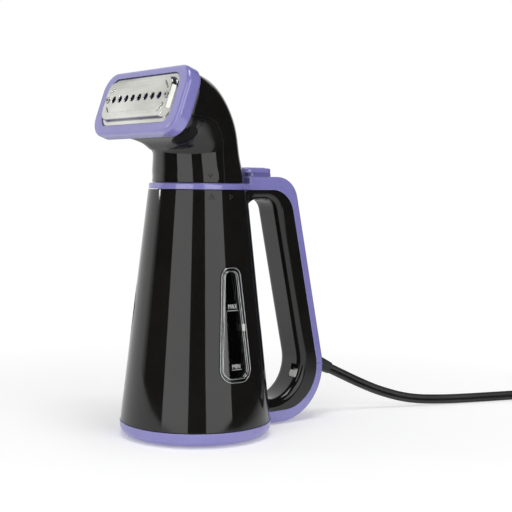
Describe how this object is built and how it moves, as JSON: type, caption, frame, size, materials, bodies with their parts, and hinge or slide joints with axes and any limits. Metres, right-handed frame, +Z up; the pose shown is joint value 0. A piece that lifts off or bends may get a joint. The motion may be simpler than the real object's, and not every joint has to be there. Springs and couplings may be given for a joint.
{
  "type": "handheld garment steamer",
  "caption": "Upright handheld garment steamer: conical water tank with a loop handle, twist-on elbow head with a perforated steam plate, thumb button and flat mains lead.",
  "frame": {"origin": "centre of the tank's base, on the surface the steamer stands on", "axes": "+Z up, -X the way the steam plate faces, +X towards the handle and the lead"},
  "size_m": [0.4978, 0.1366, 0.2467],
  "materials": {
    "black_gloss": "high gloss",
    "black_matte": "satin",
    "violet": "semi gloss",
    "clear": "clear moulded plastic",
    "stainless": "bright pressed sheet",
    "cast_aluminium": "cast",
    "spring_steel": "drawn wire",
    "screw_steel": "plated",
    "brass": "plain",
    "white_plastic": "heat-resistant",
    "grey_plastic": "satin",
    "wire": "sleeved",
    "seal": "silicone",
    "foot_rubber": "matt",
    "cord_black": "satin"
  },
  "bodies": {
    "body": {"tank_body": "black_gloss", "water_window": "clear", "window_seal": "seal", "base_cover": "violet", "top_trim": "violet", "button_spring": "spring_steel", "button_switch": "white_plastic", "heater_plate": "cast_aluminium", "heater_seal": "seal", "heating_element": "stainless", "thermostat": "black_matte", "thermal_fuse": "white_plastic", "terminal_block": "white_plastic", "internal_leads": "wire", "heater_screws": "screw_steel", "base_screws": "screw_steel", "foot_ring": "foot_rubber", "switch_body": "black_matte", "strain_relief": "cord_black", "cord_lead": "cord_black", "cord_coil": "cord_black", "cord_tie": "cord_black", "plug_body": "cord_black", "plug_blades": "brass"},
    "head": {"neck_hood": "black_gloss", "neck_throat": "black_gloss", "head_bezel": "violet", "plate_gasket": "seal", "steam_plate": "stainless", "end_rivets": "stainless", "steam_duct": "white_plastic", "head_collar": "black_matte", "head_seal": "seal", "splash_baffle": "white_plastic"},
    "button": {"thumb_button": "violet"},
    "slider": {"switch_slider": "grey_plastic"}
  },
  "joints": [
    {"name": "head_twist", "type": "hinge", "parent": "body", "child": "head", "pos_m": [0, 0, 0.168], "axis": [0, 0, 1], "range_deg": [0, 28]},
    {"name": "button_press", "type": "slide", "parent": "body", "child": "button", "axis": [0, 0, -1], "range_m": [0, 0.0024], "stiffness_N_per_m": 900, "springref_m": -0.0015, "deforming": ["button_spring"]},
    {"name": "switch_slide", "type": "slide", "parent": "body", "child": "slider", "axis": [0.2885, 0, 0.9575], "range_m": [0, 0.0042]}
  ]
}
